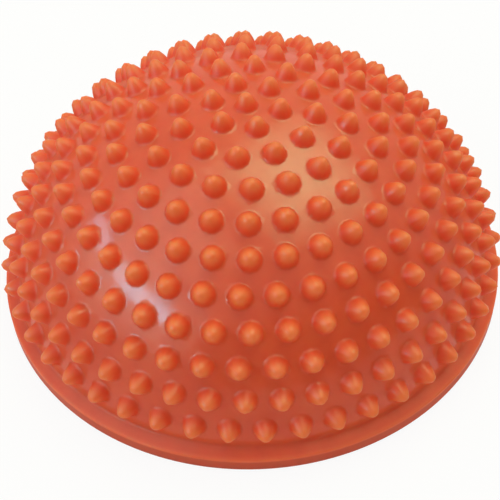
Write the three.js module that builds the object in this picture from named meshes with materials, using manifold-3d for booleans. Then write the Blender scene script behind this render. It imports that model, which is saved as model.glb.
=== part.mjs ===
// Spiky half ball: an air-filled balance pod with a spiked dome, a welded base and a stopper valve.
// Lengths are millimetres, +Z is up, and the origin lies on the floor under the crown.
import * as THREE from "three";
import { mergeGeometries, mergeVertices } from "three/addons/utils/BufferGeometryUtils.js";
import { ConvexHull } from "three/addons/math/ConvexHull.js";
import Module from "manifold-3d";

// Skin of the dome: part of an ellipse, turned about the upright axis
const skinRadius = 76.4;
const skinRise = 63.7;
const skinCentreHeight = 0.7;
const skinWall = 2.6;

// Ledge and skirt round the dome's foot
const rimRadius = 80;
const rimDraft = 0.1;
const skirtHeight = 4.6;
const skirtWall = 3.2;
const skirtLip = 0.5;
const ledgeHeight = 6.4;
const ledgeRound = 0.9;

// Spikes: paraboloids, at one pitch from ring to ring and at nearly the same along each ring
const spikeHeight = 4.8;
const spikeFootRadius = 3.45;
const spikeShoulderDepth = 1.4;
const spikePitch = 10.4;
const spikeSidePitch = 10.45;
const spikeFootMargin = 1.2;

// How far each ring is turned, as a share of the step from spike to spike, crown to foot
const ringTurnShares = [0, 0.27, 0.72, 0.07, 0.95, 0.94, 0.65, 0.92, 0.56, 0.69, 0.21];

// Base disc, welded into the skirt
const baseThickness = 3.4;
const weldGap = 0.3;
const footRingWidth = 7;
const treadDepth = 1.4;
const treadRibWidth = 2.4;
const treadRibPitch = 10.4;
const panRadius = 17;
const panHeight = 5;
const panWall = 2.4;

// Boss on the base that holds the valve
const bossBore = 5.6;
const bossWall = 2.6;
const bossTop = 18;

// Valve sleeve, snapped into the boss
const sleeveGap = 0.2;
const sleeveWall = 2;
const sleeveFlangeRadius = 8;
const sleeveFlangeThickness = 1.4;
const sleeveBeadLength = 2.6;
const sleeveBeadStand = 0.9;

// Stopper, which pulls out of the sleeve downwards
const stopperGap = 0.2;
const stopperHeadRadius = 6;
const stopperHeadThickness = 1.3;
const stopperNose = 1.2;
const stopperGripLength = 8;
const stopperGripThickness = 2.4;
const stopperGripHeight = 1.2;

// Counts of facets
const domeSegments = 48;
const cavitySteps = 7;
const spikeSides = 7;
const valveSegments = 24;
const ringWalkSteps = 4000;

const wasm = await Module();
wasm.setup();

// A closed geometry as a solid that can be joined and cut
function solidOf(geometry) {
  const bare = geometry.clone();
  bare.deleteAttribute("normal");
  bare.deleteAttribute("uv");
  const merged = mergeVertices(bare);
  return new wasm.Manifold(
    new wasm.Mesh({
      numProp: 3,
      vertProperties: merged.attributes.position.array,
      triVerts: new Uint32Array(merged.index.array),
    }),
  );
}

// A solid's faces as a geometry
function geometryOf(solid) {
  const { vertProperties, triVerts, numProp } = solid.getMesh();
  const geometry = new THREE.BufferGeometry();
  geometry.setAttribute("position", new THREE.BufferAttribute(vertProperties, numProp));
  geometry.setIndex(new THREE.BufferAttribute(triVerts, 1));
  geometry.computeVertexNormals();
  return geometry;
}

// Turns an outline of [radius, height] points about the upright axis
function turned(outline, segments) {
  const points = outline.map(([radius, height]) => new THREE.Vector2(radius, height));
  const geometry = new THREE.LatheGeometry(points, segments);
  geometry.rotateX(Math.PI / 2);
  return geometry;
}

// The same, for an outline that closes on itself and stays off the axis
function turnedRing(outline, segments) {
  return turned([...outline, outline[0]], segments);
}

// A point of the skin, lowered into the wall by the inset, at an angle from the crown
function skinPoint(angle, inset = 0) {
  const radius = (skinRadius - inset) * Math.sin(angle);
  const height = skinCentreHeight + (skinRise - inset) * Math.cos(angle);
  return [radius, height];
}

// The angle from the crown at which the skin, or the wall's inner face, is at a height
function skinAngleAt(height, inset = 0) {
  return Math.acos((height - skinCentreHeight) / (skinRise - inset));
}

// The skin's outline from the crown down to a height
function skinOutline(lowest, steps, inset = 0) {
  const last = skinAngleAt(lowest, inset);
  return Array.from({ length: steps + 1 }, (_, i) => skinPoint((last * i) / steps, inset));
}

// Ledge and skirt, from the skin's foot out and down to the floor
function rimOutline() {
  const edge = rimRadius - rimDraft;
  return [
    [edge - ledgeRound, skirtHeight + ledgeRound],
    [edge, skirtHeight],
    [rimRadius, skirtLip],
    [rimRadius - skirtLip, 0],
  ];
}

// Pocket under the rim that takes the base disc
function pocketOutline() {
  const pocketRadius = rimRadius - skirtWall;
  return [
    [pocketRadius, 0],
    [pocketRadius, baseThickness + weldGap],
  ];
}

// The way a spike points, square to the skin, in the plane of the outline
function skinNormal(angle) {
  const out = new THREE.Vector2(Math.sin(angle) / skinRadius, Math.cos(angle) / skinRise);
  return out.normalize();
}

// The tip of a spike that stands on the skin at an angle from the crown
function tipPoint(angle) {
  const [radius, height] = skinPoint(angle);
  const out = skinNormal(angle);
  return new THREE.Vector2(radius + spikeHeight * out.x, height + spikeHeight * out.y);
}

// Angles of the rings of spikes: the tips lie one pitch apart along the dome
function ringAngles() {
  const lowestFoot = ledgeHeight + spikeFootMargin + spikeFootRadius;
  const last = skinAngleAt(lowestFoot);
  const angles = [0];
  let walked = 0;
  let before = tipPoint(0);
  for (let i = 1; i <= ringWalkSteps; i += 1) {
    const angle = (last * i) / ringWalkSteps;
    const tip = tipPoint(angle);
    walked += tip.distanceTo(before);
    before = tip;
    if (walked >= spikePitch * angles.length) angles.push(angle);
  }
  return angles;
}

// The spikes of the ring at an angle from the crown: where each stands, and its three directions
function spikeStands(angle, turnShare) {
  const [radius, height] = skinPoint(angle);
  const slope = skinNormal(angle);
  const around = 2 * Math.PI * tipPoint(angle).x;
  const count = Math.max(1, Math.round(around / spikeSidePitch));
  return Array.from({ length: count }, (_, i) => {
    const turn = (2 * Math.PI * (i + turnShare)) / count;
    const across = new THREE.Vector3(Math.sin(turn), -Math.cos(turn), 0);
    const side = new THREE.Vector3(Math.cos(turn), Math.sin(turn), 0);
    const out = across.clone().multiplyScalar(slope.x).setZ(slope.y);
    const foot = across.clone().multiplyScalar(radius).setZ(height);
    return { foot, out, side, rise: out.clone().cross(side) };
  });
}

// A circle of points round a spike, at a radius and at a height above its foot
function spikeCircle(stand, radius, height) {
  return Array.from({ length: spikeSides }, (_, i) => {
    const turn = (2 * Math.PI * i) / spikeSides;
    return stand.foot
      .clone()
      .addScaledVector(stand.out, height)
      .addScaledVector(stand.side, radius * Math.cos(turn))
      .addScaledVector(stand.rise, radius * Math.sin(turn));
  });
}

// Moves a point onto the skin, along the line from the ellipse's centre
function ontoSkin(point) {
  const centre = new THREE.Vector3(0, 0, skinCentreHeight);
  const axes = new THREE.Vector3(skinRadius, skinRadius, skinRise);
  const share = point.clone().sub(centre).divide(axes).length();
  return point.sub(centre).divideScalar(share).add(centre);
}

// One spike: a paraboloid in two bands, from its foot on the skin to the shoulder and to the tip
function spikeFaces(stand, foot) {
  const shoulderRadius = spikeFootRadius * Math.sqrt(spikeShoulderDepth / spikeHeight);
  const shoulder = spikeCircle(stand, shoulderRadius, spikeHeight - spikeShoulderDepth);
  const tip = stand.foot.clone().addScaledVector(stand.out, spikeHeight);
  return foot.flatMap((start, i) => {
    const next = (i + 1) % foot.length;
    return [
      [start, foot[next], shoulder[next]],
      [start, shoulder[next], shoulder[i]],
      [shoulder[i], shoulder[next], tip],
    ];
  });
}

// The circle of points where the skin meets the ledge
function creaseCircle() {
  const [radius, height] = skinPoint(skinAngleAt(ledgeHeight));
  return Array.from({ length: domeSegments }, (_, i) => {
    const turn = (2 * Math.PI * i) / domeSegments;
    return new THREE.Vector3(radius * Math.sin(turn), -radius * Math.cos(turn), height);
  });
}

// The skin between the spikes: every foot and the crease lie on it, so their hull spans it
function skinFaces(rounds) {
  const roundOf = new Map();
  rounds.forEach((round) => round.forEach((point) => roundOf.set(point, round)));
  const hull = new ConvexHull().setFromPoints(rounds.flat());
  return hull.faces
    .map((face) => [face.edge, face.edge.next, face.edge.next.next].map((e) => e.head().point))
    .filter(([a, b, c]) => roundOf.get(a) !== roundOf.get(b) || roundOf.get(b) !== roundOf.get(c));
}

// Triangles of three points each as a geometry
function facesGeometry(faces) {
  const geometry = new THREE.BufferGeometry();
  return geometry.setFromPoints(faces.flat());
}

// Dome, ledge and skirt in one skin, with its spikes
function spikedDome() {
  const stands = ringAngles().flatMap((angle, ring) =>
    spikeStands(angle, ringTurnShares[ring % ringTurnShares.length]),
  );
  const feet = stands.map((stand) => spikeCircle(stand, spikeFootRadius, 0).map(ontoSkin));
  const spikes = stands.flatMap((stand, i) => spikeFaces(stand, feet[i]));
  const skin = skinFaces([...feet, creaseCircle()]);
  const seatHeight = baseThickness + weldGap;
  const inside = turned(
    [
      skinPoint(skinAngleAt(ledgeHeight)),
      ...rimOutline(),
      ...pocketOutline(),
      ...skinOutline(seatHeight, cavitySteps, skinWall).reverse(),
    ].reverse(),
    domeSegments,
  ).toNonIndexed();
  inside.deleteAttribute("normal");
  inside.deleteAttribute("uv");
  return mergeVertices(mergeGeometries([facesGeometry([...skin, ...spikes]), inside]));
}

// Underside of the base disc, from the finger pan out to the foot ring, with the tread ribs
function treadOutline(baseRadius) {
  const footRingInner = baseRadius - footRingWidth;
  const panRim = panRadius + treadRibWidth;
  const outline = [
    [panRadius, 0],
    [panRim, 0],
    [panRim, treadDepth],
  ];
  const room = footRingInner - panRim;
  const ribs = Math.floor(room / treadRibPitch) - 1;
  const spacing = room / (ribs + 1);
  for (let i = 1; i <= ribs; i += 1) {
    const inner = panRim + spacing * i - treadRibWidth / 2;
    const outer = inner + treadRibWidth;
    outline.push([inner, treadDepth], [inner, 0], [outer, 0], [outer, treadDepth]);
  }
  outline.push([footRingInner, treadDepth], [footRingInner, 0], [baseRadius, 0]);
  return outline;
}

// Base disc with its foot ring, tread, finger pan and valve boss
function baseDisc() {
  const baseRadius = rimRadius - skirtWall - weldGap;
  const panTop = panHeight + panWall;
  const bossRadius = bossBore + bossWall;
  const outline = [
    [bossBore, panHeight],
    [panRadius, panHeight],
    ...treadOutline(baseRadius),
    [baseRadius, baseThickness],
    [panRadius + panWall, baseThickness],
    [panRadius + panWall, panTop],
    [bossRadius, panTop],
    [bossRadius, bossTop],
    [bossBore, bossTop],
  ];
  return turnedRing(outline, domeSegments);
}

// Underside of the sleeve's flange, where the stopper's head seats
function sleeveFoot() {
  return panHeight - sleeveGap - sleeveFlangeThickness;
}

// Top of the sleeve, past the boss by its bead
function sleeveTop() {
  return bossTop + sleeveGap + sleeveBeadLength;
}

// Soft sleeve with a flange below the base and a bead above the boss
function valveSleeve() {
  const outer = bossBore - sleeveGap;
  const inner = outer - sleeveWall;
  const bead = bossBore + sleeveBeadStand;
  const beadFoot = bossTop + sleeveGap;
  return turnedRing(
    [
      [inner, sleeveFoot()],
      [sleeveFlangeRadius, sleeveFoot()],
      [sleeveFlangeRadius, sleeveFoot() + sleeveFlangeThickness],
      [outer, sleeveFoot() + sleeveFlangeThickness],
      [outer, beadFoot],
      [bead, beadFoot],
      [outer, sleeveTop()],
      [inner, sleeveTop()],
    ],
    valveSegments,
  );
}

// Stopper with a shank, a flat head and a grip bar under the head
function valveStopper() {
  const shank = bossBore - sleeveGap - sleeveWall - stopperGap;
  const headTop = sleeveFoot() - stopperGap;
  const headFoot = headTop - stopperHeadThickness;
  const body = turned(
    [
      [0, headFoot],
      [stopperHeadRadius, headFoot],
      [stopperHeadRadius, headTop],
      [shank, headTop],
      [shank, sleeveTop() - stopperNose],
      [shank - stopperNose, sleeveTop()],
      [0, sleeveTop()],
    ],
    valveSegments,
  );
  const gripRise = stopperHeadThickness / 2;
  const grip = new THREE.BoxGeometry(
    stopperGripLength,
    stopperGripThickness,
    stopperGripHeight + gripRise,
  );
  grip.translate(0, 0, headFoot + (gripRise - stopperGripHeight) / 2);
  return geometryOf(solidOf(body).add(solidOf(grip)));
}

// A named piece with its own finish
function piece(name, geometry, finish) {
  const mesh = new THREE.Mesh(geometry, new THREE.MeshStandardMaterial(finish));
  mesh.name = name;
  return mesh;
}

const softOrange = { color: 0xe06c42, roughness: 0.38, metalness: 0 };
const baseOrange = { color: 0xd5623b, roughness: 0.5, metalness: 0 };
const milkyRubber = { color: 0xe9e2d3, roughness: 0.55, metalness: 0 };
const milkyPlastic = { color: 0xf0ebe0, roughness: 0.42, metalness: 0 };

const pod = new THREE.Group();
pod.add(
  piece("spiked_dome", spikedDome(), softOrange),
  piece("base_disc", baseDisc(), baseOrange),
  piece("valve_sleeve", valveSleeve(), milkyRubber),
  piece("valve_stopper", valveStopper(), milkyPlastic),
);

export default pod;
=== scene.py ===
# %% [markdown]
# # A spiky half ball
# The real object is a balance pod: a soft vinyl dome full of air, covered with about three hundred blunt
# spikes moulded in one with the skin. A ledge and a low skirt run round its foot, and a flat base is welded
# inside the skirt. A stopper in the middle of the base closes the air valve. This file dresses four solids,
# one for each of these pieces, and every cell explains one step.

# %% Load the solids and keep the box that they fill
import math

import bmesh
import bpy
import numpy as np
from mathutils import Matrix, Vector
from mathutils.geometry import delaunay_2d_cdt
from mathutils.kdtree import KDTree


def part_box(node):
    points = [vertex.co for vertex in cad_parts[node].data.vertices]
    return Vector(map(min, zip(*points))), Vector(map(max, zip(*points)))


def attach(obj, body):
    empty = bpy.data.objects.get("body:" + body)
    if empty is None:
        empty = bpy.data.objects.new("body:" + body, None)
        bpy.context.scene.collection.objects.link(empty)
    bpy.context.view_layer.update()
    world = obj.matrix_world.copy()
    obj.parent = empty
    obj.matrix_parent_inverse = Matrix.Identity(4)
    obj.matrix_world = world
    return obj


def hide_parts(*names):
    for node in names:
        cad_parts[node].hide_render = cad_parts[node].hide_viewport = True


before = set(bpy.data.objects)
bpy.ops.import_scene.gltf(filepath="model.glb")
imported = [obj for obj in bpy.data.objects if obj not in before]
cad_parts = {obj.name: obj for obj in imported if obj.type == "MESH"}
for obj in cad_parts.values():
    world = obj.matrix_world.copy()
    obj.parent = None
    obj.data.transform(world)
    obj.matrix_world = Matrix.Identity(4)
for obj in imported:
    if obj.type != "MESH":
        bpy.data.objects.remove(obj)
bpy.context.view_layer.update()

# %% [markdown]
# ## Sizes
# Everything is in metres. The sizes that the solids fix, such as the rim and the height, are read from
# their boxes, so the dressed pieces can't drift away from them. The others are the sizes that the solids
# were drawn from: the skin is part of an ellipse turned about the upright axis, and each spike is a
# paraboloid.

# %% Sizes of the four pieces
mm = 0.001

rim_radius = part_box("spiked_dome")[1].x
crown_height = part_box("spiked_dome")[1].z
base_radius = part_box("base_disc")[1].x
boss_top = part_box("base_disc")[1].z
flange_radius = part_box("valve_sleeve")[1].x
flange_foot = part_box("valve_sleeve")[0].z
sleeve_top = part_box("valve_sleeve")[1].z
head_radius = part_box("valve_stopper")[1].x
grip_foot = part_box("valve_stopper")[0].z

spike_height = 4.8 * mm
spike_foot_radius = 3.45 * mm
spike_fillet = 0.35 * mm
spike_fillet_height = 0.45 * mm
spike_pitch = 10.4 * mm
spike_side_pitch = 10.45 * mm
spike_foot_margin = 1.2 * mm
ring_turn_shares = [0, 0.27, 0.72, 0.07, 0.95, 0.94, 0.65, 0.92, 0.56, 0.69, 0.21]

skin_radius = 76.4 * mm
skin_centre_height = 0.7 * mm
skin_rise = crown_height - spike_height - skin_centre_height
skin_wall = 2.6 * mm

skirt_height = 4.6 * mm
skirt_wall = 3.2 * mm
skirt_draft = 0.1 * mm
ledge_height = 6.4 * mm
floor_lip = 0.5 * mm

print("Rim", round(rim_radius / mm, 1), "mm, skin rise", round(skin_rise / mm, 1), "mm")

# %% [markdown]
# ## One way to write node trees
# Geometry Nodes and shaders both need a lot of small sums. A small class wraps one output socket, so that
# Python's own signs add the Math nodes. The reflected forms make 1 - mask work as well as mask - 1. Every
# other node comes from one method that takes its type, its settings and what goes into its sockets.

# %% A socket that Python can do sums with
class Wire:
    """One output socket in a node tree. An operator on it adds a Math node."""

    def __init__(self, sheet, socket):
        self.sheet = sheet
        self.socket = socket

    def maths(self, operation, *others):
        return self.sheet.maths(operation, self, *others)

    def __add__(self, other):
        return self.maths("ADD", other)

    def __radd__(self, other):
        return self.maths("ADD", other)

    def __sub__(self, other):
        return self.maths("SUBTRACT", other)

    def __rsub__(self, other):
        return self.sheet.maths("SUBTRACT", other, self)

    def __mul__(self, other):
        return self.maths("MULTIPLY", other)

    def __rmul__(self, other):
        return self.maths("MULTIPLY", other)

    def __truediv__(self, other):
        return self.maths("DIVIDE", other)

    def __rtruediv__(self, other):
        return self.sheet.maths("DIVIDE", other, self)

    def clamped(self):
        return self.maths("MINIMUM", 1).maths("MAXIMUM", 0)


# %% A sheet that a node tree is written on
class Sheet:
    """A node tree, with one method that adds any node."""

    def __init__(self, tree):
        self.tree = tree

    def node(self, kind, settings=None, sockets=None, out=0):
        """Adds a node and returns its output, or a list of outputs where out names several."""
        made = self.tree.nodes.new(kind)
        for name, value in (settings or {}).items():
            setattr(made, name, value)
        for key, value in (sockets or {}).items():
            self.feed(self.socket_of(made.inputs, key), value)
        if isinstance(out, tuple):
            return [Wire(self, self.socket_of(made.outputs, key)) for key in out]
        return Wire(self, self.socket_of(made.outputs, out))

    def socket_of(self, sockets, key):
        if isinstance(key, int):
            return sockets[key]
        live = [socket for socket in sockets if socket.enabled]
        return next(socket for socket in live if key in (socket.identifier, socket.name))

    def feed(self, socket, value):
        if isinstance(value, Wire):
            self.tree.links.new(value.socket, socket)
        else:
            socket.default_value = value

    def maths(self, operation, *values):
        return self.node("ShaderNodeMath", {"operation": operation}, dict(enumerate(values)))

    def vector_maths(self, operation, *values):
        return self.node("ShaderNodeVectorMath", {"operation": operation}, dict(enumerate(values)))


# %% A step with soft ends, for shaders
def smooth_step(sheet, value, low, high):
    settings = {"interpolation_type": "SMOOTHSTEP"}
    return sheet.node("ShaderNodeMapRange", settings, {"Value": value, "From Min": low, "From Max": high})


# %% [markdown]
# ## Camera
# The camera looks down on the pod at 48 degrees from a third of a metre away, which is why the front rows
# of spikes look so much larger than the back rows. Its place came from the tips of the spikes and the rim
# in the photograph. It is rolled by about two degrees, as a camera held in the hand is.

# %% Set up the camera
camera_distance = 0.3335
camera_elevation = math.radians(48.28)
camera_roll = math.radians(-2.04)
frame_pixels = 500
focal_length_pixels = 1002.6
optical_centre_pixels = (251.51, 256.54)
sensor_width = 36


def add_camera():
    data = bpy.data.cameras.new("camera")
    data.sensor_width = sensor_width
    data.lens = focal_length_pixels / frame_pixels * sensor_width
    data.shift_x = 0.5 - optical_centre_pixels[0] / frame_pixels
    data.shift_y = optical_centre_pixels[1] / frame_pixels - 0.5
    camera = bpy.data.objects.new("camera", data)
    tilt = Matrix.Rotation(math.pi / 2 - camera_elevation, 4, "X")
    roll = Matrix.Rotation(camera_roll, 4, "Z")
    camera.matrix_world = tilt @ roll @ Matrix.Translation((0, 0, camera_distance))
    bpy.context.scene.collection.objects.link(camera)
    bpy.context.scene.camera = camera
    return camera


camera = add_camera()
print("Camera stands at", [round(value, 3) for value in camera.matrix_world.translation])

# %% [markdown]
# ## Colours as they are seen
# A colour socket wants linear light, but a person reads a colour as the eight-bit value on a screen. This
# helper turns one into the other, so that the finishes below can be written as they look.

# %% Turn a seen colour into linear light
def seen(red, green, blue):
    linear = []
    for channel in (red, green, blue):
        share = channel / 255
        linear.append(share / 12.92 if share <= 0.04045 else ((share + 0.055) / 1.055) ** 2.4)
    return (*linear, 1.0)


print("A middle grey of 128 is", round(seen(128, 128, 128)[0], 3), "in linear light")

# %% [markdown]
# ## Floor and backdrop
# The pod stands on a plain pale floor. The world is plain white wherever the camera, a reflection or a
# clear surface looks at it, and only a soft grey light for everything else, so the white costs the pod no
# contrast. For the same rays the floor is nine parts light of its own and one part ordinary matt floor, and
# that part keeps the pod's shadow. The floor is a flat ring: it has a round hole hidden under the pod and
# isn't seen from below, so that the underside can be looked at as well.

# %% A circle of points, for everything that is round
def circle(radius, height, segments):
    """Points round the upright axis. The first one is in front."""
    turns = [2 * math.pi * i / segments for i in range(segments)]
    return [Vector((radius * math.sin(turn), -radius * math.cos(turn), height)) for turn in turns]


print("A circle starts at", circle(1, 0, 4)[0][:])

# %% Make the world and the floor
world_colour = seen(255, 253, 250)
matt_colour = seen(244, 243, 241)
own_light_colour = seen(255, 255, 255)
world_light = 0.6
floor_own_light_share = 0.9
floor_radius = 4.0
floor_drop = 0.02 * mm
floor_segments = 96


def looked_at(sheet):
    """1 for rays from the camera, a reflection or a clear surface, and 0 for the others."""
    kinds = ("Is Camera Ray", "Is Glossy Ray", "Is Transmission Ray")
    camera_ray, glossy_ray, clear_ray = sheet.node("ShaderNodeLightPath", out=kinds)
    return (camera_ray + glossy_ray + clear_ray).clamped()


def add_world():
    world = bpy.data.worlds.new("studio")
    world.use_nodes = True
    sheet = Sheet(world.node_tree)
    background = world.node_tree.nodes["Background"]
    sheet.feed(background.inputs["Color"], world_colour)
    sheet.feed(background.inputs["Strength"], world_light + (1 - world_light) * looked_at(sheet))
    bpy.context.scene.world = world


def floor_material():
    material = bpy.data.materials.new("pale_floor")
    material.use_nodes = True
    sheet = Sheet(material.node_tree)
    material.node_tree.nodes.remove(material.node_tree.nodes["Principled BSDF"])
    matt = sheet.node("ShaderNodeBsdfDiffuse", sockets={"Color": matt_colour})
    own_light = sheet.node("ShaderNodeEmission", sockets={"Color": own_light_colour})
    share = looked_at(sheet) * floor_own_light_share
    top = sheet.node("ShaderNodeMixShader", sockets={0: share, 1: matt, 2: own_light})
    clear = sheet.node("ShaderNodeBsdfTransparent")
    below = sheet.node("ShaderNodeNewGeometry", out="Backfacing")
    whole = sheet.node("ShaderNodeMixShader", sockets={0: below, 1: top, 2: clear})
    sheet.feed(material.node_tree.nodes["Material Output"].inputs["Surface"], whole)
    return material


def add_floor():
    mesh = bpy.data.meshes.new("floor")
    work = bmesh.new()
    circles = [circle(radius, -floor_drop, floor_segments) for radius in (base_radius, floor_radius)]
    inner, outer = [[work.verts.new(point) for point in points] for points in circles]
    for i in range(floor_segments):
        after = (i + 1) % floor_segments
        work.faces.new((inner[i], outer[i], outer[after], inner[after]))
    work.to_mesh(mesh)
    work.free()
    mesh.materials.append(floor_material())
    floor = bpy.data.objects.new("floor", mesh)
    bpy.context.scene.collection.objects.link(floor)
    return floor


bpy.context.scene.view_settings.view_transform = "Standard"
add_world()
floor = add_floor()
print("Floor faces point", [round(value) for value in floor.data.polygons[0].normal])

# %% [markdown]
# ## Lights
# The light that makes the pod bright enough is seldom the one that leaves the right mark in its gloss, so
# most panels do only one of the two jobs. A broad ceiling light behind, on the right, and a soft fill from
# the window's side only light the pod, and leave the sides of the spikes that face the camera deep red.
# Each panel has a known brightness, so its power in watts follows from its area.
#
# The others are only seen in the gloss. A narrow bright window on the left, brighter at its end nearer the
# front, leaves the milky patches between the spikes, and a soft glow lies round it. A pale wall above it
# veils the left side, and a lamp in the ceiling gives the skin its pale orange glow. The glow, the wall and
# the lamp have soft edges, because each is a nest of panels that grow in size. No two panels hang in one
# plane, because a ray that meets two at the same distance counts only one. The last panel shines from
# below, for views of the underside.

# %% Helpers that hang a panel or a nest of panels
nest_step = 0.01


def aim(item, azimuth, elevation, distance):
    """Places something round the pod and turns it to face it. Azimuth 0 is in front and 90 on the right."""
    a, e = math.radians(azimuth), math.radians(elevation)
    towards = Vector((math.sin(a) * math.cos(e), -math.cos(a) * math.cos(e), math.sin(e)))
    item.location = Vector((0, 0, crown_height / 2)) + towards * distance
    item.rotation_mode = "QUATERNION"
    item.rotation_quaternion = towards.to_track_quat("Z", "Y")
    bpy.context.scene.collection.objects.link(item)


def add_panel(name, place, size, brightness, colour, diffuse=True, glossy=True):
    """A soft light aimed at the pod. Its place is its azimuth, elevation and distance."""
    data = bpy.data.lights.new(name, "AREA")
    data.shape = "RECTANGLE"
    data.size, data.size_y = size
    data.energy = 4 * size[0] * size[1] * brightness
    data.color = colour[:3]
    panel = bpy.data.objects.new(name, data)
    aim(panel, *place)
    panel.visible_camera = False
    panel.visible_diffuse = diffuse
    panel.visible_glossy = glossy


def add_nest(name, place, size, shares, brightness, colour):
    """Panels of growing size, each a step behind the last, that only the gloss sees."""
    azimuth, elevation, distance = place
    for number, share in enumerate(shares):
        behind = (azimuth, elevation, distance + nest_step * number)
        add_panel(name, behind, (size[0] * share, size[1] * share), brightness, colour, diffuse=False)


# %% Hang the lights
window_colour = seen(230, 238, 250)
glow_colour = seen(190, 240, 205)
sky_colour = seen(120, 226, 255)
ceiling_colour = seen(246, 255, 206)
lamp_colour = seen(170, 236, 178)
wall_colour = seen(215, 240, 215)

# Each light: its name, its place, its width and height, its brightness and its colour
add_panel("window", (-72, 29, 1.0), (1.1, 0.15), 11.0, sky_colour, diffuse=False)
add_panel("window_end", (-55, 29, 0.99), (0.5, 0.15), 8.0, sky_colour, diffuse=False)
add_nest("window_glow", (-62, 25, 1.02), (1.1, 0.6), (0.7, 1.2), 1.4, glow_colour)
add_panel("window_fill", (-72, 29, 1.05), (1.1, 0.5), 0.95, window_colour, glossy=False)
add_panel("ceiling_light", (155, 68, 1.2), (1.0, 1.0), 1.75, ceiling_colour, glossy=False)
add_nest("pale_wall", (-80, 60, 1.1), (1.1, 0.8), (0.6, 1.0), 1.4, wall_colour)
add_nest("ceiling_lamp", (127, 68, 1.2), (0.9, 0.9), (0.4, 0.7, 1.0, 1.3), 2.8, lamp_colour)
add_panel("under_light", (50, -50, 1.0), (0.6, 0.6), 1.9, ceiling_colour)
print("Lights:", [light.name for light in bpy.data.lights])

# %% [markdown]
# A photographer keeps unwanted white out of a glossy thing with a flag, a dark sheet that only the gloss of
# the pod sees here. One stands in front and keeps the near side deep red. Another lies over the floor
# behind like a mat, and keeps the floor's white out of the far side. Both fade out towards their edges, so
# they leave no line.

# %% Stand the flag and lay the mat
flag_colour = seen(20, 12, 10)
fade_starts = (0.6, 0.5)
mat_height = 0.3 * mm
mat_middle = (0.1, 0.18)


def add_flag(place, size, darkness):
    """A dark sheet that only the gloss sees. Its place and size are given as a panel's are."""
    material = bpy.data.materials.new("flag")
    material.use_nodes = True
    sheet = Sheet(material.node_tree)
    material.node_tree.nodes.remove(material.node_tree.nodes["Principled BSDF"])
    place_on_it = sheet.node("ShaderNodeTexCoord", out="UV")
    sides = sheet.node("ShaderNodeSeparateXYZ", sockets={0: place_on_it}, out=("X", "Y"))
    cover = darkness
    for side, start in zip(sides, fade_starts):
        cover = cover * (1 - smooth_step(sheet, (side * 2 - 1).maths("ABSOLUTE"), start, 1))
    clear = sheet.node("ShaderNodeBsdfTransparent")
    dark = sheet.node("ShaderNodeBsdfDiffuse", sockets={"Color": flag_colour})
    mixed = sheet.node("ShaderNodeMixShader", sockets={0: cover, 1: clear, 2: dark})
    sheet.feed(material.node_tree.nodes["Material Output"].inputs["Surface"], mixed)
    mesh = bpy.data.meshes.new("flag")
    x, y = size[0] / 2, size[1] / 2
    mesh.from_pydata([(-x, -y, 0), (x, -y, 0), (x, y, 0), (-x, y, 0)], [], [(0, 1, 2, 3)])
    mesh.uv_layers.new(name="flat").data.foreach_set("uv", (0, 0, 1, 0, 1, 1, 0, 1))
    mesh.materials.append(material)
    flag = bpy.data.objects.new("flag", mesh)
    aim(flag, *place)
    for kind in ("camera", "diffuse", "transmission", "volume_scatter", "shadow"):
        setattr(flag, "visible_" + kind, False)
    return flag


add_flag(place=(28, 13, 0.95), size=(3.2, 1.2), darkness=0.95)
mat = add_flag(place=(0, -90, crown_height / 2 - mat_height), size=(0.9, 0.4), darkness=0.75)
mat.location.xy = mat_middle
print("The mat lies at", [round(value, 4) for value in mat.location])

# %% [markdown]
# ## Soft vinyl
# The dome is dyed vinyl that lets a little light in. Red light travels furthest in it, so the shaded side
# of a spike stays glowing red while its lit side is orange: that is subsurface scattering, with a much
# longer reach for red. Its gloss has two layers, a broad satin one and a thin clearer one, which is what
# shows the window. On top come a slow drift of the dye, smaller clouds in it, a fine grain from the mould,
# a slight waviness and some scuffs, all from noise on Object coordinates.

# %% Helpers that the finishes share
def blend_colours(sheet, factor, first, second):
    settings = {"data_type": "RGBA"}
    sockets = {"Factor_Float": factor, "A_Color": first, "B_Color": second}
    return sheet.node("ShaderNodeMix", settings, sockets, out="Result_Color")


def noise(sheet, feature_size, detail=2.0, stretch=(1, 1, 1)):
    """Noise from 0 to 1 whose blotches are about one feature size across."""
    place = sheet.node("ShaderNodeTexCoord", out="Object")
    stretched = sheet.vector_maths("MULTIPLY", place, stretch)
    sockets = {"Vector": stretched, "Scale": 1 / feature_size, "Detail": detail}
    return sheet.node("ShaderNodeTexNoise", {"noise_dimensions": "3D"}, sockets, out="Fac")


def new_finish(name):
    """An empty material, its sheet and its Principled shader."""
    material = bpy.data.materials.new(name)
    material.use_nodes = True
    return material, Sheet(material.node_tree), material.node_tree.nodes["Principled BSDF"]


def dress(sheet, shader, sockets):
    for name, value in sockets.items():
        sheet.feed(shader.inputs[name], value)


# %% [markdown]
# Two things tell where on the dome a point is. Its place from the axis gives masks for the rim: painted
# shade darkens the crease where the skin bends into the ledge, a painted highlight lightens the outer edge,
# and painted shade darkens the skirt. An attribute on the mesh says how far up a spike a point is: the tips
# are paler. The clear layer is weaker on the spikes, at the bend of their feet and on the whole rim, where
# the real skin is duller.

# %% Where on the dome a point is
# above_crease and beyond_crease bound the crease mask, which lays painted shade into the skin's colour.
above_crease = (0.2 * mm, 1.6 * mm)
beyond_crease = (-0.2 * mm, 1.4 * mm)
# This span places a painted highlight along the outer edge of the ledge.
edge_highlight_span = (-1.3 * mm, -0.2 * mm)
# skirt_top bounds the skirt mask, which also lays painted shade into the skin's colour.
skirt_top = (-1.0 * mm, -0.3 * mm)


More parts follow.
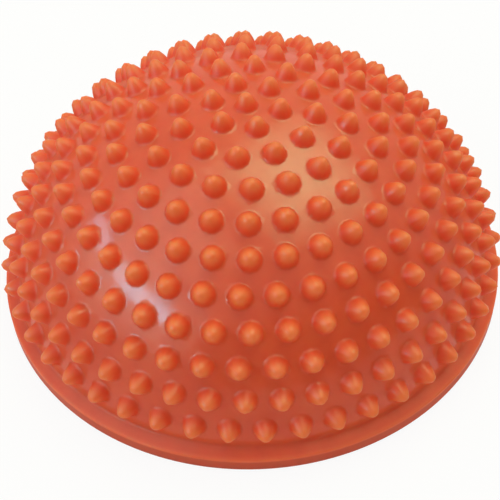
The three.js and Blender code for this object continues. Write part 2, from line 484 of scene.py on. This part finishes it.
def round_the_axis(sheet):
    """A point's distance from the upright axis and its height."""
    place = sheet.node("ShaderNodeTexCoord", out="Object")
    x, y, z = sheet.node("ShaderNodeSeparateXYZ", sockets={0: place}, out=("X", "Y", "Z"))
    return (x * x + y * y).maths("SQRT"), z


def step_beside(sheet, value, mark, blend):
    """A soft step that starts and ends a little before or after a mark."""
    return smooth_step(sheet, value, mark + blend[0], mark + blend[1])


def rim_masks(sheet):
    """Masks from 0 to 1 for the crease's painted shade, the outer edge's painted highlight, the skirt and
    the ledge.
    """
    out, up = round_the_axis(sheet)
    # Of these masks, crease and skirt carry painted shade and edge carries a painted highlight.
    above = step_beside(sheet, up, ledge_height, above_crease)
    beyond = step_beside(sheet, out, skin_radius, beyond_crease)
    edge = step_beside(sheet, out, rim_radius, edge_highlight_span)
    skirt = 1 - step_beside(sheet, up, skirt_height, skirt_top)
    return (1 - above) * (1 - beyond), edge, skirt, (1 - above) * (1 - skirt)


# %% The finish of the spiked dome
dye_colours = (seen(226, 92, 53), seen(220, 84, 47))
cloud_colour = seen(213, 76, 42)
# Painted shade in the crease.
crease_shade_colour = seen(201, 66, 38)
# A painted highlight along the outer edge.
edge_highlight_colour = seen(226, 110, 62)
# Painted shade on the skirt.
skirt_shade_colour = seen(200, 80, 50)
flank_colour = seen(221, 82, 45)
tip_colour = seen(221, 118, 65)
vinyl_reach = 3.2 * mm


def dyed_skin(sheet, drift, crease, edge, skirt):
    """Dye between the spikes and round the rim, with painted shade and a painted highlight at the rim."""
    cloud = smooth_step(sheet, noise(sheet, 3.5 * mm, 2.0), 0.4, 0.8)
    skin = blend_colours(sheet, smooth_step(sheet, drift, 0.35, 0.7), *dye_colours)
    # The crease tint is painted shade and the edge tint is a painted highlight.
    tints = [(cloud, 0.3, cloud_colour), (crease, 0.15, crease_shade_colour), (edge, 0.6, edge_highlight_colour)]
    for mask, strength, colour in tints:
        skin = blend_colours(sheet, mask * strength, skin, colour)
    # The skirt's colour is painted shade.
    return blend_colours(sheet, skirt, skin, skirt_shade_colour)


def mould_relief(sheet):
    """The fine grain of the mould on a slight waviness of the skin."""
    grain = {"Strength": 0.25, "Distance": 0.05 * mm, "Height": noise(sheet, 0.35 * mm, 2.0)}
    wave = {"Strength": 0.35, "Distance": 0.12 * mm, "Height": noise(sheet, 2.4 * mm, 1.0)}
    fine = sheet.node("ShaderNodeBump", sockets=grain)
    return sheet.node("ShaderNodeBump", sockets={**wave, "Normal": fine})


def dome_vinyl():
    material, sheet, shader = new_finish("soft_orange_vinyl")
    drift = noise(sheet, 16 * mm, 3.0)
    scuff = smooth_step(sheet, noise(sheet, 1.2 * mm, 4.0, (1, 0.35, 1)), 0.62, 0.8)
    climb = sheet.node("ShaderNodeAttribute", {"attribute_name": "climb"}, out="Fac")
    on_spike = smooth_step(sheet, climb, 0.0, 0.2)
    foot_bend = smooth_step(sheet, climb, 0.0, 0.03) * (1 - smooth_step(sheet, climb, 0.15, 0.4))
    # crease and skirt bring painted shade into the colour, and edge brings a painted highlight.
    crease, edge, skirt, ledge = rim_masks(sheet)
    skin = dyed_skin(sheet, drift, crease, edge, skirt)
    flank = blend_colours(sheet, smooth_step(sheet, climb, 0.0, 0.15), skin, flank_colour)
    coat = (0.3 - 0.12 * scuff) * (1 - 0.6 * foot_bend) * (1 - 0.6 * on_spike)
    finish = {
        "Base Color": blend_colours(sheet, smooth_step(sheet, climb, 0.15, 0.9), flank, tip_colour),
        "Roughness": 0.4 + 0.08 * drift + 0.1 * scuff + 0.06 * on_spike + 0.15 * ledge + 0.2 * skirt,
        "Normal": mould_relief(sheet),
        "IOR": 1.5,
        "Specular IOR Level": 0.14,
        "Subsurface Weight": 0.85,
        "Subsurface Radius": (1.8, 0.28, 0.12),
        "Subsurface Scale": vinyl_reach,
        "Coat Weight": coat * (1 - 0.5 * ledge) * (1 - 0.9 * skirt),
        "Coat Roughness": 0.11,
        "Coat IOR": 1.5,
    }
    dress(sheet, shader, finish)
    return material


dome_finish = dome_vinyl()
print("Finish:", dome_finish.name, "with", len(dome_finish.node_tree.nodes), "nodes")

# %% [markdown]
# The base is the same vinyl with a matt, grained face. The sleeve and the stopper are milky: they let light
# in as well, but almost alike for all colours. One function makes all three, because they differ only in
# their values.

# %% The finishes of the base and the valve
def moulded(name, colours, roughness, grain_size, grain_depth, reach):
    """A moulded plastic with a drift between two colours, a grain and scuffs. Its reach is in mm."""
    material, sheet, shader = new_finish(name)
    drift = noise(sheet, 12 * mm, 3.0)
    scuff = smooth_step(sheet, noise(sheet, 1.6 * mm, 4.0, (1, 0.3, 1)), 0.6, 0.8)
    grain = noise(sheet, grain_size, 3.0)
    relief = {"Strength": 0.6, "Distance": grain_depth, "Height": grain - 0.4 * scuff}
    finish = {
        "Base Color": blend_colours(sheet, smooth_step(sheet, drift, 0.35, 0.7), *colours),
        "Roughness": roughness + 0.1 * drift + 0.12 * scuff,
        "Normal": sheet.node("ShaderNodeBump", sockets=relief),
        "Subsurface Weight": 0.5,
        "Subsurface Radius": reach,
        "Subsurface Scale": 1 * mm,
    }
    dress(sheet, shader, finish)
    return material


base_colours = (seen(214, 84, 50), seen(206, 76, 46))
rubber_colours = (seen(232, 224, 208), seen(226, 216, 198))
plastic_colours = (seen(240, 235, 224), seen(236, 229, 216))
base_finish = moulded("grained_orange_vinyl", base_colours, 0.48, 0.5 * mm, 0.08 * mm, (1.6, 0.5, 0.25))
sleeve_finish = moulded("milky_rubber", rubber_colours, 0.5, 0.4 * mm, 0.04 * mm, (1.2, 1.1, 0.9))
stopper_finish = moulded("milky_plastic", plastic_colours, 0.36, 0.6 * mm, 0.02 * mm, (1.2, 1.1, 0.9))
print("Finishes:", [finish.name for finish in (base_finish, sleeve_finish, stopper_finish)])

# %% [markdown]
# ## Where the spikes stand
# The spikes lie in rings round the crown. Their tips are one pitch apart from ring to ring and along each
# ring, so a wider ring holds more of them. Each ring is turned by its own share of a step, as on the real
# mould, which breaks up the rows. A spike stands square to the skin.

# %% Work out the rings and the stands
def skin_point(angle, inset=0.0):
    """Radius and height of the skin, or of a surface inside it, at an angle from the crown."""
    radius = (skin_radius - inset) * math.sin(angle)
    return radius, skin_centre_height + (skin_rise - inset) * math.cos(angle)


def skin_angle_at(height, inset=0.0):
    return math.acos((height - skin_centre_height) / (skin_rise - inset))


def skin_slope(angle):
    """Outward and upward parts of the skin's normal."""
    out = Vector((math.sin(angle) / skin_radius, math.cos(angle) / skin_rise))
    return out.normalized()


def tip_point(angle):
    return Vector(skin_point(angle)) + spike_height * skin_slope(angle)


def ring_angles(walk_steps=4000):
    """Angles from the crown whose tips lie one pitch apart along the dome."""
    last = skin_angle_at(ledge_height + spike_foot_margin + spike_foot_radius)
    angles, walked, before = [0.0], 0.0, tip_point(0.0)
    for i in range(1, walk_steps + 1):
        angle = last * i / walk_steps
        tip = tip_point(angle)
        walked += (tip - before).length
        before = tip
        if walked >= spike_pitch * len(angles):
            angles.append(angle)
    return angles


def ring_stands(angle, turn_share):
    """The foot, the upward and the sideways direction of each spike in a ring."""
    radius, height = skin_point(angle)
    slope = skin_slope(angle)
    count = max(1, round(2 * math.pi * tip_point(angle).x / spike_side_pitch))
    for i in range(count):
        turn = 2 * math.pi * (i + turn_share) / count
        across = Vector((math.sin(turn), -math.cos(turn), 0))
        side = Vector((math.cos(turn), math.sin(turn), 0))
        yield across * radius + Vector((0, 0, height)), across * slope.x + Vector((0, 0, slope.y)), side


stands = []
for ring, angle in enumerate(ring_angles()):
    stands.extend(ring_stands(angle, ring_turn_shares[ring % len(ring_turn_shares)]))
print(len(stands), "spikes in", len(ring_angles()), "rings")

# %% [markdown]
# ## One spike, three hundred times
# Geometry Nodes are made for this. The tree bends a small grid into a spike: a paraboloid that flares out
# into the skin at its foot in a small fillet. It puts a copy on each stand and makes the copies real. Each
# copy's foot would then be a flat circle over a round dome, so every point is lowered onto the ellipse by
# what the dome falls away under it. The sides and bands are few, because every face is there three hundred
# times, and the bands crowd towards the foot, where the outline bends most. Two named attributes leave with
# the mesh: a point's height over the skin, and that height as a share of the spike's.

# %% Bend a grid into one spike
foot_crowding = 1.3
spike_weld = 0.001 * mm


def spike_profile(sizes, share):
    """Radius and height of a spike along its outline. The share goes from 0 at the foot to 1 at the tip."""
    turn = share.maths("POWER", foot_crowding) * (math.pi / 2)
    sine = turn.maths("SINE")
    height = sizes["Height"] * sine * sine
    room = (1 - height / sizes["Fillet Height"]).clamped()
    return sizes["Foot Radius"] * turn.maths("COSINE") + sizes["Fillet"] * room * room * room, height


def bent_grid(sheet, sizes):
    """A grid bent into one spike, its seam and its tip closed, with its attributes."""
    counts = {"Vertices X": sizes["Sides"] + 1, "Vertices Y": sizes["Bands"] + 1}
    grid = sheet.node("GeometryNodeMeshGrid", sockets={"Size X": 1.0, "Size Y": 1.0, **counts}, out="Mesh")
    place = sheet.node("GeometryNodeInputPosition")
    grid_x, grid_y = sheet.node("ShaderNodeSeparateXYZ", sockets={0: place}, out=("X", "Y"))
    radius, height = spike_profile(sizes, grid_y + 0.5)
    turn = (grid_x + 0.5) * (2 * math.pi)
    bent = {"X": radius * turn.maths("COSINE"), "Y": radius * turn.maths("SINE"), "Z": height}
    point = sheet.node("ShaderNodeCombineXYZ", sockets=bent)
    settings = {"data_type": "FLOAT", "domain": "POINT"}
    for name, value in (("rise", height), ("climb", height / sizes["Height"])):
        kept = {"Geometry": grid, "Name": name, "Value": value}
        grid = sheet.node("GeometryNodeStoreNamedAttribute", settings, kept)
    spike = sheet.node("GeometryNodeSetPosition", sockets={"Geometry": grid, "Position": point})
    return sheet.node("GeometryNodeMergeByDistance", sockets={"Geometry": spike, "Distance": spike_weld})


# %% Stand the copies on the dome
def named(sheet, name, data_type):
    """An attribute that the mesh brings along."""
    settings = {"data_type": data_type}
    return sheet.node("GeometryNodeInputNamedAttribute", settings, {"Name": name}, out="Attribute")


def scaled(sheet, vector, factor):
    return sheet.node("ShaderNodeVectorMath", {"operation": "SCALE"}, {0: vector, "Scale": factor})


def draped(sheet, sizes, spikes):
    """Lowers each spike's points onto the ellipse by what it falls away under them."""
    out, rise = named(sheet, "out", "FLOAT_VECTOR"), named(sheet, "rise", "FLOAT")
    lift = scaled(sheet, out, rise)
    flat = sheet.vector_maths("SUBTRACT", sheet.node("GeometryNodeInputPosition"), lift)
    centre = sheet.node("ShaderNodeCombineXYZ", sockets={"Z": sizes["Centre Height"]})
    widths = {"X": sizes["Skin Radius"], "Y": sizes["Skin Radius"], "Z": sizes["Skin Rise"]}
    axes = sheet.node("ShaderNodeCombineXYZ", sockets=widths)
    arm = sheet.vector_maths("SUBTRACT", flat, centre)
    stretch = {0: sheet.vector_maths("DIVIDE", arm, axes)}
    share = sheet.node("ShaderNodeVectorMath", {"operation": "LENGTH"}, stretch, out="Value")
    on_ellipse = sheet.vector_maths("ADD", centre, scaled(sheet, arm, 1 / share))
    point = sheet.vector_maths("ADD", on_ellipse, lift)
    return sheet.node("GeometryNodeSetPosition", sockets={"Geometry": spikes, "Position": point})


def spike_tree():
    tree = bpy.data.node_groups.new("blunt_spikes", "GeometryNodeTree")
    inputs = {
        "NodeSocketGeometry": ["Stands"],
        "NodeSocketFloat": ["Foot Radius", "Fillet", "Fillet Height", "Height",
                            "Skin Radius", "Skin Rise", "Centre Height"],
        "NodeSocketInt": ["Sides", "Bands"],
        "NodeSocketMaterial": ["Finish"],
    }
    for kind, names in inputs.items():
        for name in names:
            tree.interface.new_socket(name=name, in_out="INPUT", socket_type=kind)
    tree.interface.new_socket(name="Spikes", in_out="OUTPUT", socket_type="NodeSocketGeometry")
    sheet = Sheet(tree)
    names = tuple(name for kind in inputs.values() for name in kind)
    sizes = dict(zip(names, sheet.node("NodeGroupInput", out=names)))
    out, side = [named(sheet, name, "FLOAT_VECTOR") for name in ("out", "side")]
    axes = {"Primary Axis": out, "Secondary Axis": side}
    upright = sheet.node("FunctionNodeAxesToRotation", {"primary_axis": "Z", "secondary_axis": "X"}, axes)
    copies = {"Points": sizes["Stands"], "Instance": bent_grid(sheet, sizes), "Rotation": upright}
    spikes = sheet.node("GeometryNodeInstanceOnPoints", sockets=copies)
    spikes = draped(sheet, sizes, sheet.node("GeometryNodeRealizeInstances", sockets={0: spikes}))
    finished = {"Geometry": spikes, "Material": sizes["Finish"]}
    spikes = sheet.node("GeometryNodeSetMaterial", sockets=finished)
    output = tree.nodes.new("NodeGroupOutput")
    sheet.feed(output.inputs["Spikes"], spikes)
    return tree


spike_maker = spike_tree()
print("Tree:", spike_maker.name, "with", len(spike_maker.nodes), "nodes")

# %% [markdown]
# ## From the tree to a plain mesh
# The stands become a mesh of single points that carry each spike's number and directions. The modifier runs
# on it once, the result is copied out as a plain mesh, and the object with its modifier goes. So nothing is
# left that has to be worked out again, and the spikes can be welded to the skin.

# %% Grow the spikes
spike_sides = 12
spike_bands = 5


def stand_points():
    mesh = bpy.data.meshes.new("stands")
    mesh.from_pydata([foot for foot, _, _ in stands], [], [])
    for name, place in (("out", 1), ("side", 2)):
        layer = mesh.attributes.new(name, "FLOAT_VECTOR", "POINT")
        layer.data.foreach_set("vector", [value for stand in stands for value in stand[place]])
    mesh.attributes.new("number", "INT", "POINT").data.foreach_set("value", range(len(stands)))
    points = bpy.data.objects.new("stands", mesh)
    bpy.context.scene.collection.objects.link(points)
    return points


def grown(points, tree, values):
    """Runs a tree on an object and returns what it makes as a plain mesh. The object goes."""
    modifier = points.modifiers.new("grow", "NODES")
    modifier.node_group = tree
    for item in tree.interface.items_tree:
        if item.in_out == "INPUT" and item.name in values:
            modifier[item.identifier] = values[item.name]
    graph = bpy.context.evaluated_depsgraph_get()
    mesh = bpy.data.meshes.new_from_object(points.evaluated_get(graph), depsgraph=graph)
    points.modifiers.clear()
    bpy.data.objects.remove(points)
    return mesh


spikes = grown(stand_points(), spike_maker, {
    "Foot Radius": spike_foot_radius,
    "Fillet": spike_fillet,
    "Fillet Height": spike_fillet_height,
    "Height": spike_height,
    "Skin Radius": skin_radius,
    "Skin Rise": skin_rise,
    "Centre Height": skin_centre_height,
    "Sides": spike_sides,
    "Bands": spike_bands,
    "Finish": dome_finish,
})
print(len(spikes.polygons), "faces in the spikes,", len(spikes.polygons) // len(stands), "in each")

# %% [markdown]
# ## A net of skin between the spikes
# The skin has to be one sheet with a round hole for every spike. A grid can't do that cleanly, so the skin
# is drawn flat, triangulated there and lifted back. The flat drawing is the one that a mapmaker uses for a
# pole: it keeps small circles round, so the triangles stay even. The points are the spikes' own feet, a
# close collar round each foot, a circle just above the ledge, and a sunflower spiral of loose points that
# fills the room between them. Constrained Delaunay triangulation joins them, and the triangles inside a
# foot are left out.

# %% Find the feet of the spikes in their mesh
foot_climb = 0.001


def foot_circles(mesh):
    """The points of every spike's foot, in order round it, as an array of spikes by sides by three."""
    number = np.empty(len(mesh.vertices), np.int32)
    mesh.attributes["number"].data.foreach_get("value", number)
    climb = np.empty(len(mesh.vertices), np.float32)
    mesh.attributes["climb"].data.foreach_get("value", climb)
    places = np.empty(len(mesh.vertices) * 3, np.float32)
    mesh.vertices.foreach_get("co", places)
    places = places.reshape(-1, 3)
    on_foot = np.flatnonzero(climb < foot_climb)
    foot, out, side = (np.array([stand[part] for stand in stands])[number[on_foot]] for part in range(3))
    arm = places[on_foot] - foot
    turn = np.arctan2((arm * np.cross(out, side)).sum(1), (arm * side).sum(1))
    ordered = on_foot[np.lexsort((turn, number[on_foot]))]
    return places[ordered].reshape(len(stands), -1, 3)


feet = foot_circles(spikes)
print("Feet:", feet.shape[0], "circles of", feet.shape[1], "points")

# %% Set points on the skin between the feet
net_spacing = 1.6 * mm
net_foot_height = ledge_height + 1.3 * mm
collar_width = 0.35 * mm


def loose_points():
    """A sunflower spiral over the dome, thinned out round the feet and along the edge."""
    centres = KDTree(len(stands))
    for i, (foot, _, _) in enumerate(stands):
        centres.insert(foot, i)
    centres.balance()
    last = skin_angle_at(net_foot_height + net_spacing / 2)
    dome_area = 2 * math.pi * skin_radius * skin_rise * (1 - math.cos(last))
    count = round(dome_area / net_spacing**2)
    clearance = spike_foot_radius + spike_fillet + net_spacing / 2
    golden_turn = math.pi * (3 - math.sqrt(5))
    points = []
    for i in range(count):
        angle = math.acos(1 - (1 - math.cos(last)) * (i + 0.5) / count)
        radius, height = skin_point(angle)
        turn = golden_turn * i
        point = Vector((radius * math.sin(turn), -radius * math.cos(turn), height))
        if centres.find(point)[2] > clearance:
            points.append(point)
    return points


def on_skin(point):
    """Moves a point along its line to the middle of the ellipse, onto the skin."""
    centre = Vector((0, 0, skin_centre_height))
    arm = point - centre
    share = Vector((arm.x / skin_radius, arm.y / skin_radius, arm.z / skin_rise)).length
    return centre + arm / share


def collars():
    """A close circle of points round each foot. It keeps the shading of the skin flat up to the fillet."""
    points = []
    for circle_points, (middle, _, _) in zip(feet.tolist(), stands):
        for point in circle_points:
            arm = Vector(point) - middle
            points.append(on_skin(middle + arm * (1 + collar_width / arm.length)))
    return points


between_feet = collars() + loose_points()
print(len(between_feet), "points between the feet")

# %% Draw the net flat and triangulate it
rim_segments = 192
tiny = mm * mm
flat_tolerance = 1e-7


def drawn_flat(point):
    """A point of the skin on the flat drawing, as a mapmaker draws a pole."""
    radius = math.hypot(point.x, point.y)
    angle = math.atan2(radius / skin_radius, (point.z - skin_centre_height) / skin_rise)
    return Vector((point.x, point.y)) * (math.tan(angle / 2) / max(radius, tiny))


def net_faces():
    """The skin between the spikes, as a list of points and a list of triangles."""
    sides = feet.shape[1]
    edge = circle(*skin_point(skin_angle_at(net_foot_height)), rim_segments)
    points = [Vector(point) for point in feet.reshape(-1, 3).tolist()] + edge + between_feet
    holes = [list(range(i * sides, (i + 1) * sides)) for i in range(len(feet))]
    flat = [drawn_flat(point) for point in points]
    made = delaunay_2d_cdt(flat, [], holes, 0, flat_tolerance)
    _, _, faces, origins, _, holes_of_faces = made
    given = [origin[0] for origin in origins]
    kept = [face for face, holes_of_face in zip(faces, holes_of_faces) if not holes_of_face]
    return points, [[given[corner] for corner in face] for face in kept]


net_points, net_triangles = net_faces()
print(len(net_triangles), "triangles in the net of skin")

# %% [markdown]
# ## Turned shapes
# The rim, the base, the sleeve and the stopper are all round, so each is an outline turned about the
# upright axis. An outline is a short list of corners, each with its own rounding, because no moulded edge
# is sharp: a rounded edge is what catches a thin line of light.

# %% Round the corners of an outline
arc_step = math.radians(15)
support_share = 0.2


def rounded(corners):
    """An outline through corners of (radius, height, rounding), with an arc at each corner that has one.

    A point close before and after each arc keeps the shading of the flats beside it flat.
    """
    outline = []
    for i, (radius, height, rounding) in enumerate(corners):
        here = Vector((radius, height))
        if not rounding:
            outline.append(here)
            continue
        back = (Vector(corners[i - 1][:2]) - here).normalized()
        on = (Vector(corners[(i + 1) % len(corners)][:2]) - here).normalized()
        turn = math.pi - back.angle(on)
        centre = here + (back + on).normalized() * rounding / math.cos(turn / 2)
        setback = rounding * math.tan(turn / 2)
        start = here + back * setback - centre
        end = here + on * setback - centre
        steps = max(2, math.ceil(turn / arc_step))
        arms = [start.lerp(end, step / steps).normalized() for step in range(steps + 1)]
        outline.append(here + back * (setback + rounding * support_share))
        outline.extend(centre + arm * rounding for arm in arms)
        outline.append(here + on * (setback + rounding * support_share))
    return outline


square = [(0, 0, 0), (1, 0, 0.1), (1, 1, 0), (0, 1, 0)]
print("A square with one rounded corner has", len(rounded(square)), "points")

# %% Turn an outline, close the mesh and put it in place
weld_distance = 0.002 * mm


def add_turned(work, outline, segments, closed=False):
    """Adds an outline turned about the upright axis to a mesh that is being worked on."""
    rings = []
    for radius, height in outline:
        if radius < tiny:
            rings.append([work.verts.new((0, 0, height))] * segments)
        else:
            rings.append([work.verts.new(point) for point in circle(radius, height, segments)])
    for near, far in zip(rings, rings[1:] + rings[:1] if closed else rings[1:]):
        for i in range(segments):
            after = (i + 1) % segments
            corners = list(dict.fromkeys([near[i], near[after], far[after], far[i]]))
            if len(corners) > 2:
                work.faces.new(corners)


def closed_mesh(work, name, finish):
    """Merges doubles, points the faces outwards and ends the work as a smooth mesh with a finish."""
    bmesh.ops.remove_doubles(work, verts=work.verts, dist=weld_distance)
    bmesh.ops.recalc_face_normals(work, faces=work.faces)
    open_edges = [edge for edge in work.edges if not edge.is_manifold]
    for face in work.faces:
        face.smooth = True
    mesh = bpy.data.meshes.new(name)
    work.to_mesh(mesh)
    work.free()
    mesh.materials.clear()
    mesh.materials.append(finish)
    print(name, "has", len(mesh.polygons), "faces and", len(open_edges), "open edges")
    return mesh


def put_on(mesh, node, body):
    """Makes a mesh the piece that stands for a solid, which it hides, and lets it ride on its body."""
    piece = bpy.data.objects.new(mesh.name, mesh)
    bpy.context.scene.collection.objects.link(piece)
    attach(piece, body)
    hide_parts(node)


# %% [markdown]
# ## The dome in one piece
# The mould makes spikes, skin, ledge and skirt in one go, so they are one closed mesh here as well. The
# rim's outline starts on the skin, bends softly into the sloping ledge, turns down over a narrow edge into
# the skirt, and goes back under it through the pocket that holds the base. The inside of the wall closes
# it. Where the parts meet, their points coincide, so merging doubles welds them.

# %% Weld spikes, net and rim
base_thickness = 3.4 * mm
weld_gap = rim_radius - skirt_wall - base_radius
crease_rounding = 1.1 * mm
edge_rounding = 0.55 * mm
edge_rise = 0.2 * mm
pocket_rounding = 0.3 * mm
inner_steps = 36


def rim_outline():
    """From the skin over the ledge and the skirt into the pocket under the rim."""
    pocket_radius = rim_radius - skirt_wall
    seat_height = base_thickness + weld_gap
    start = skin_point(skin_angle_at(net_foot_height))
    crease = skin_point(skin_angle_at(ledge_height))
    return rounded([
        (*start, 0),
        (*crease, crease_rounding),
        (rim_radius - skirt_draft, skirt_height + edge_rise, edge_rounding),
        (rim_radius, 0, floor_lip),
        (pocket_radius, 0, pocket_rounding),
        (pocket_radius, seat_height, 0),
    ])


def inner_outline():
    """Inside of the wall, from the pocket up to under the crown."""
    last = skin_angle_at(base_thickness + weld_gap, skin_wall)
    angles = [last * (1 - step / inner_steps) for step in range(inner_steps + 1)]
    return [Vector(skin_point(angle, skin_wall)) for angle in angles]


def spiked_dome():
    work = bmesh.new()
    work.from_mesh(spikes)
    added = [work.verts.new(point) for point in net_points]
    for triangle in net_triangles:
        work.faces.new([added[corner] for corner in triangle])
    add_turned(work, rim_outline() + inner_outline(), rim_segments)
    for name in ("out", "side"):
        work.verts.layers.float_vector.remove(work.verts.layers.float_vector[name])
    return closed_mesh(work, "dome_skin", dome_finish)


put_on(spiked_dome(), "spiked_dome", "pod")

# %% [markdown]
# ## The base disc
# Nobody sees the base while the pod is in use, yet it does half of the work: it is welded into the pocket
# under the rim and keeps the air in. It stands on a foot ring and on low tread ribs that grip the floor,
# and in its middle a shallow pan keeps the valve clear of the floor. A boss round the valve stands up into
# the air. The outline is the solid's own, with its edges rounded.

# %% Turn the base disc
foot_ring_width = 7 * mm
tread_depth = 1.4 * mm
tread_rib_width = 2.4 * mm
tread_rib_pitch = 10.4 * mm
pan_radius = 17 * mm
pan_height = 5 * mm
pan_wall = 2.4 * mm
boss_bore = 5.6 * mm
boss_wall = 2.6 * mm
base_rounding = 0.35 * mm
turned_segments = 160


def tread_corners():
    """Corners of the tread ribs, from the pan's rim out to the foot ring."""
    pan_rim = pan_radius + tread_rib_width
    room = base_radius - foot_ring_width - pan_rim
    ribs = math.floor(room / tread_rib_pitch) - 1
    corners = [(pan_rim, 0), (pan_rim, tread_depth)]
    for i in range(1, ribs + 1):
        inner = pan_rim + room / (ribs + 1) * i - tread_rib_width / 2
        outer = inner + tread_rib_width
        corners += [(inner, tread_depth), (inner, 0), (outer, 0), (outer, tread_depth)]
    return corners


def base_disc():
    corners = [
        (boss_bore, pan_height),
        (pan_radius, pan_height),
        (pan_radius, 0),
        *tread_corners(),
        (base_radius - foot_ring_width, tread_depth),
        (base_radius - foot_ring_width, 0),
        (base_radius, 0),
        (base_radius, base_thickness),
        (pan_radius + pan_wall, base_thickness),
        (pan_radius + pan_wall, pan_height + pan_wall),
        (boss_bore + boss_wall, pan_height + pan_wall),
        (boss_bore + boss_wall, boss_top),
        (boss_bore, boss_top),
    ]
    outline = rounded([(*corner, base_rounding) for corner in corners])
    work = bmesh.new()
    add_turned(work, outline, turned_segments, closed=True)
    return closed_mesh(work, "base_body", base_finish)


put_on(base_disc(), "base_disc", "pod")

# %% [markdown]
# ## The valve
# The sleeve is soft: its flange lies against the pan from below and its bead has snapped over the boss. The
# stopper fills it. A bar under the stopper's head gives two fingertips something to pull. The bar and the
# head are one moulding, so the two shapes are joined into one.

# %% Turn the sleeve
sleeve_gap = 0.2 * mm
sleeve_wall = 2 * mm
flange_thickness = 1.4 * mm
bead_stand = 0.9 * mm
valve_segments = 96


def valve_sleeve():
    outer = boss_bore - sleeve_gap
    inner = outer - sleeve_wall
    corners = [
        (inner, flange_foot, 0.4 * mm),
        (flange_radius, flange_foot, 0.5 * mm),
        (flange_radius, flange_foot + flange_thickness, 0.3 * mm),
        (outer, flange_foot + flange_thickness, 0.2 * mm),
        (outer, boss_top + sleeve_gap, 0.2 * mm),
        (boss_bore + bead_stand, boss_top + sleeve_gap, 0.3 * mm),
        (outer, sleeve_top, 0.3 * mm),
        (inner, sleeve_top, 0.3 * mm),
    ]
    work = bmesh.new()
    add_turned(work, rounded(corners), valve_segments, closed=True)
    return closed_mesh(work, "soft_sleeve", sleeve_finish)


put_on(valve_sleeve(), "valve_sleeve", "pod")

# %% Turn the stopper and join its grip bar
stopper_gap = 0.2 * mm
head_thickness = 1.3 * mm
nose = 1.2 * mm
grip_length = 8 * mm
grip_thickness = 2.4 * mm
grip_rounding = 0.45 * mm


def stopper_body():
    shank = boss_bore - sleeve_gap - sleeve_wall - stopper_gap
    head_top = flange_foot - stopper_gap
    corners = [
        (0, head_top - head_thickness, 0),
        (head_radius, head_top - head_thickness, 0.4 * mm),
        (head_radius, head_top, 0.3 * mm),
        (shank, head_top, 0.2 * mm),
        (shank, sleeve_top - nose, 0.4 * mm),
        (shank - nose, sleeve_top, 0.4 * mm),
        (0, sleeve_top, 0),
    ]
    work = bmesh.new()
    add_turned(work, rounded(corners), valve_segments)
    return closed_mesh(work, "stopper_body", stopper_finish)


def grip_bar():
    top = flange_foot - stopper_gap - head_thickness / 2
    work = bmesh.new()
    bmesh.ops.create_cube(work, size=1.0)
    sizes = Vector((grip_length, grip_thickness, top - grip_foot))
    bmesh.ops.scale(work, vec=sizes, verts=work.verts)
    bmesh.ops.translate(work, vec=(0, 0, (top + grip_foot) / 2), verts=work.verts)
    bevel = {"offset": grip_rounding, "segments": 5, "profile": 0.5, "affect": "EDGES"}
    bmesh.ops.bevel(work, geom=work.edges[:], **bevel)
    return closed_mesh(work, "grip_bar", stopper_finish)


def joined(first, second, name):
    """Joins two closed meshes into one by a boolean."""
    pair = [bpy.data.objects.new(name, mesh) for mesh in (first, second)]
    for item in pair:
        bpy.context.scene.collection.objects.link(item)
    union = pair[0].modifiers.new("join", "BOOLEAN")
    union.operation = "UNION"
    union.solver = "EXACT"
    union.object = pair[1]
    graph = bpy.context.evaluated_depsgraph_get()
    mesh = bpy.data.meshes.new_from_object(pair[0].evaluated_get(graph), depsgraph=graph)
    for item in pair:
        bpy.data.objects.remove(item)
    mesh.name = name
    return mesh


stopper_mesh = joined(stopper_body(), grip_bar(), "pull_stopper")
put_on(stopper_mesh, "valve_stopper", "stopper")
print("Stopper has", len(stopper_mesh.polygons), "faces")
